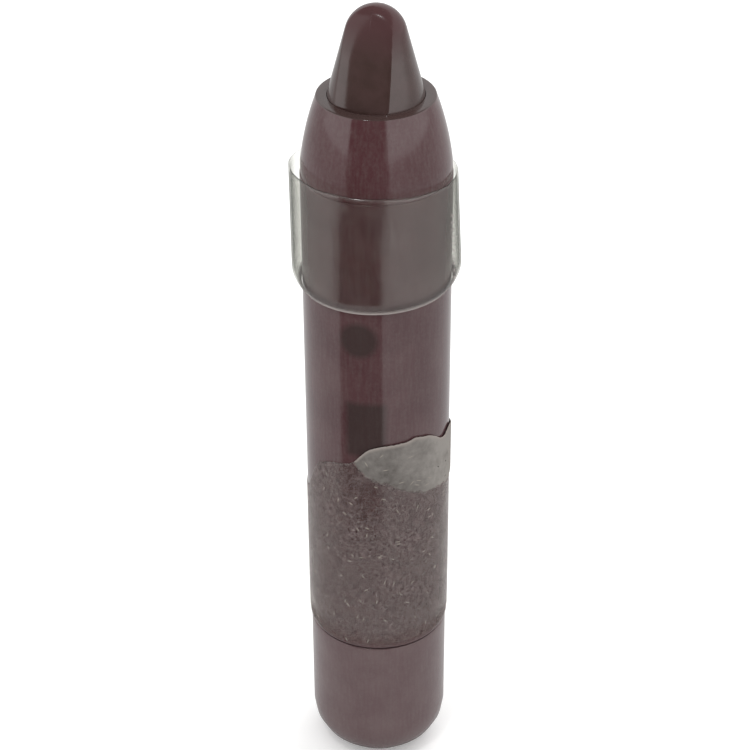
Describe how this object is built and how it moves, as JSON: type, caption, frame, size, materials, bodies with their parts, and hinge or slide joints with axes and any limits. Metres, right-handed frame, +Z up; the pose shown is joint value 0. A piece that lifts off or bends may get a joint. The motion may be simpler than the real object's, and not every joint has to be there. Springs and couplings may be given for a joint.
{
  "type": "twist-up lip crayon",
  "caption": "Slim round twist-up lip crayon with its cap off: a bullet in a tapered nose, a glossy barrel, a clear seal band and a rounded twist knob that winds the bullet in and out.",
  "frame": {"origin": "middle of the flat end of the twist knob, which the crayon stands on", "axes": "+Z up along the crayon's axis towards the bullet's tip, -Y the front"},
  "size_m": [0.0159, 0.0158, 0.0829],
  "materials": {
    "barrel_plastic": "dark burgundy ABS, moulded and polished",
    "nose_plastic": "dark burgundy ABS, moulded and polished",
    "knob_plastic": "dark burgundy ABS, moulded, a little hazed by handling",
    "lip_wax": "dark brown-red moulded lip wax, smooth and glossy",
    "natural_acetal": "natural white acetal, moulded",
    "cup_plastic": "burgundy polypropylene, moulded",
    "washer_plastic": "black low-friction plastic sheet, stamped",
    "nitrile_rubber": "black nitrile rubber, moulded",
    "spring_steel": "spring steel, stamped",
    "seal_film": "clear shrink film, glossy",
    "label_film": "clear label film, scuffed, dusty under it"
  },
  "bodies": {
    "barrel": {"barrel": "barrel_plastic", "nose_cone": "nose_plastic", "guide_sleeve": "natural_acetal", "seal_band": "seal_film", "label_film": "label_film"},
    "knob": {"twist_knob": "knob_plastic", "drive_hub": "natural_acetal", "lead_screw": "natural_acetal", "retaining_ring": "spring_steel", "o_ring": "nitrile_rubber", "thrust_washer": "washer_plastic"},
    "lift": {"bullet_cup": "cup_plastic", "lift_nut": "natural_acetal", "lip_bullet": "lip_wax"}
  },
  "joints": [
    {"name": "knob_turn", "type": "hinge", "parent": "barrel", "child": "knob", "pos_m": [0, 0, 0.0161], "axis": [0, 0, 1], "range_deg": [-1200, 1320]},
    {"name": "bullet_lift", "type": "slide", "parent": "barrel", "child": "lift", "axis": [0, 0, 1], "range_m": [-0.01, 0.011]}
  ],
  "couplings": [
    {"joint": "knob_turn", "follows": "bullet_lift", "rad_per_m": 2094.4}
  ]
}
